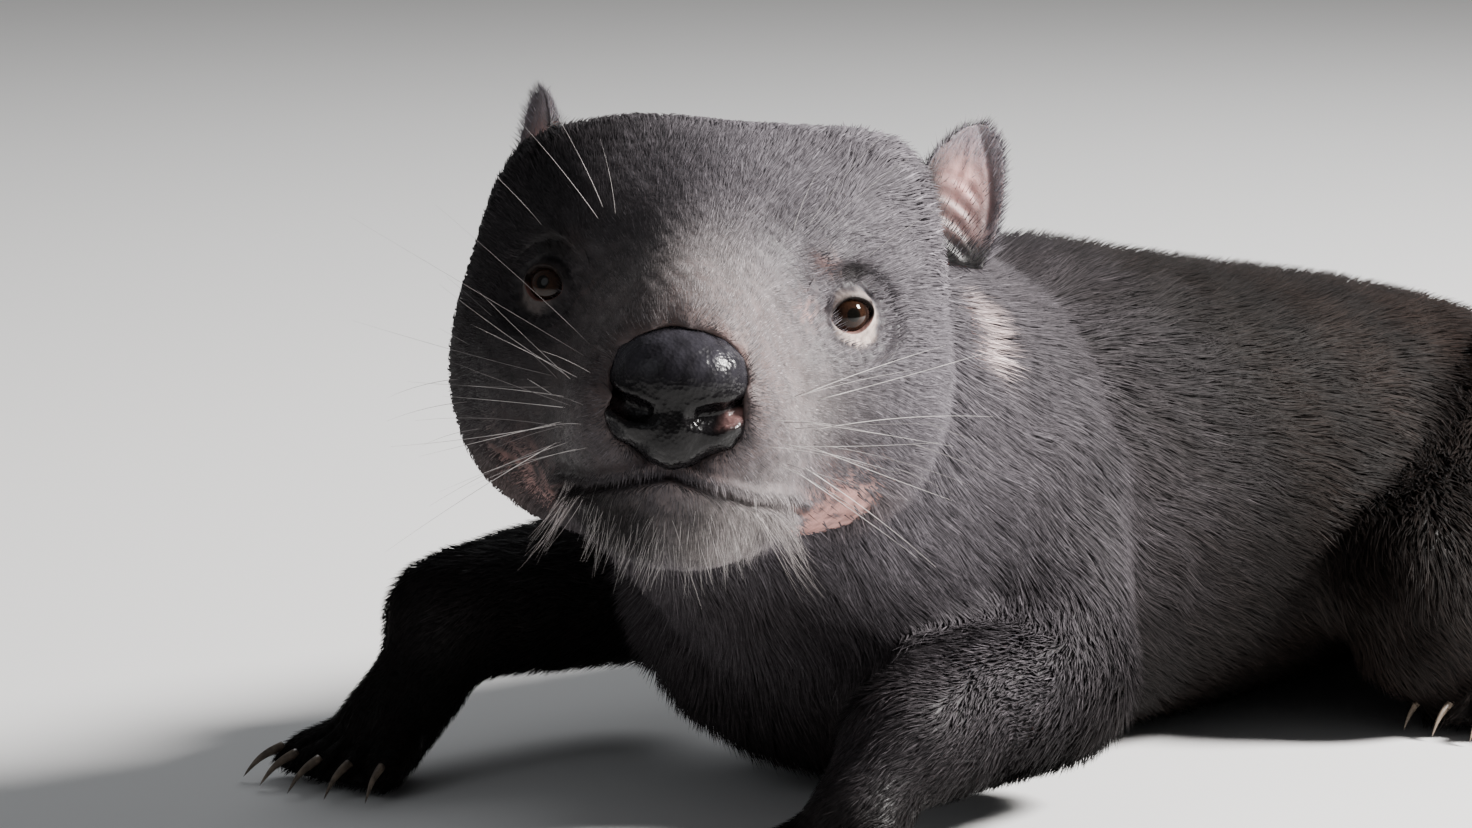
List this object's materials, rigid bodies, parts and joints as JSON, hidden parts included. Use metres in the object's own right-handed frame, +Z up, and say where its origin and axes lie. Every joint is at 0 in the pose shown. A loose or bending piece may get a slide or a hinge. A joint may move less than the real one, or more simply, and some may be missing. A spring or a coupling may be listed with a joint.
{
  "type": "tasmanian devil",
  "caption": "Tasmanian devil lying on its chest with its forearms forward and its head raised and turned to its left.",
  "frame": {"origin": "on the floor, below the middle of the whole animal", "axes": "+Y along the spine from the shoulders to the tail, +X to the animal's left, +Z up"},
  "size_m": [0.2481, 0.7602, 0.2074],
  "materials": {
    "coat": "short black fur with a soft sheen",
    "paw_skin": "sparse dark hair over dark skin",
    "ear_skin": "thin pink skin with sparse hair",
    "nose_skin": "wet, glossy, near black",
    "eye": "clear and wet over a dark brown iris",
    "claw": "smooth pale horn"
  },
  "bodies": {
    "root": {"head": "coat", "torso": "coat", "neck": "coat", "tail": "coat", "upper_arm_left": "coat", "upper_arm_right": "coat", "forearm_left": "coat", "forearm_right": "coat", "thigh_left": "coat", "thigh_right": "coat", "shank_left": "coat", "shank_right": "coat", "forepaw_left": "paw_skin", "forepaw_right": "paw_skin", "hindfoot_left": "paw_skin", "hindfoot_right": "paw_skin", "ear_left": "ear_skin", "ear_right": "ear_skin", "nose_pad": "nose_skin", "eye_left": "eye", "eye_right": "eye", "claw_forepaw_left_1": "claw", "claw_forepaw_left_2": "claw", "claw_forepaw_left_3": "claw", "claw_forepaw_left_4": "claw", "claw_forepaw_left_5": "claw", "claw_forepaw_right_1": "claw", "claw_forepaw_right_2": "claw", "claw_forepaw_right_3": "claw", "claw_forepaw_right_4": "claw", "claw_forepaw_right_5": "claw", "claw_hindfoot_left_1": "claw", "claw_hindfoot_left_2": "claw", "claw_hindfoot_left_3": "claw", "claw_hindfoot_left_4": "claw", "claw_hindfoot_right_1": "claw", "claw_hindfoot_right_2": "claw", "claw_hindfoot_right_3": "claw", "claw_hindfoot_right_4": "claw"}
  },
  "joints": []
}
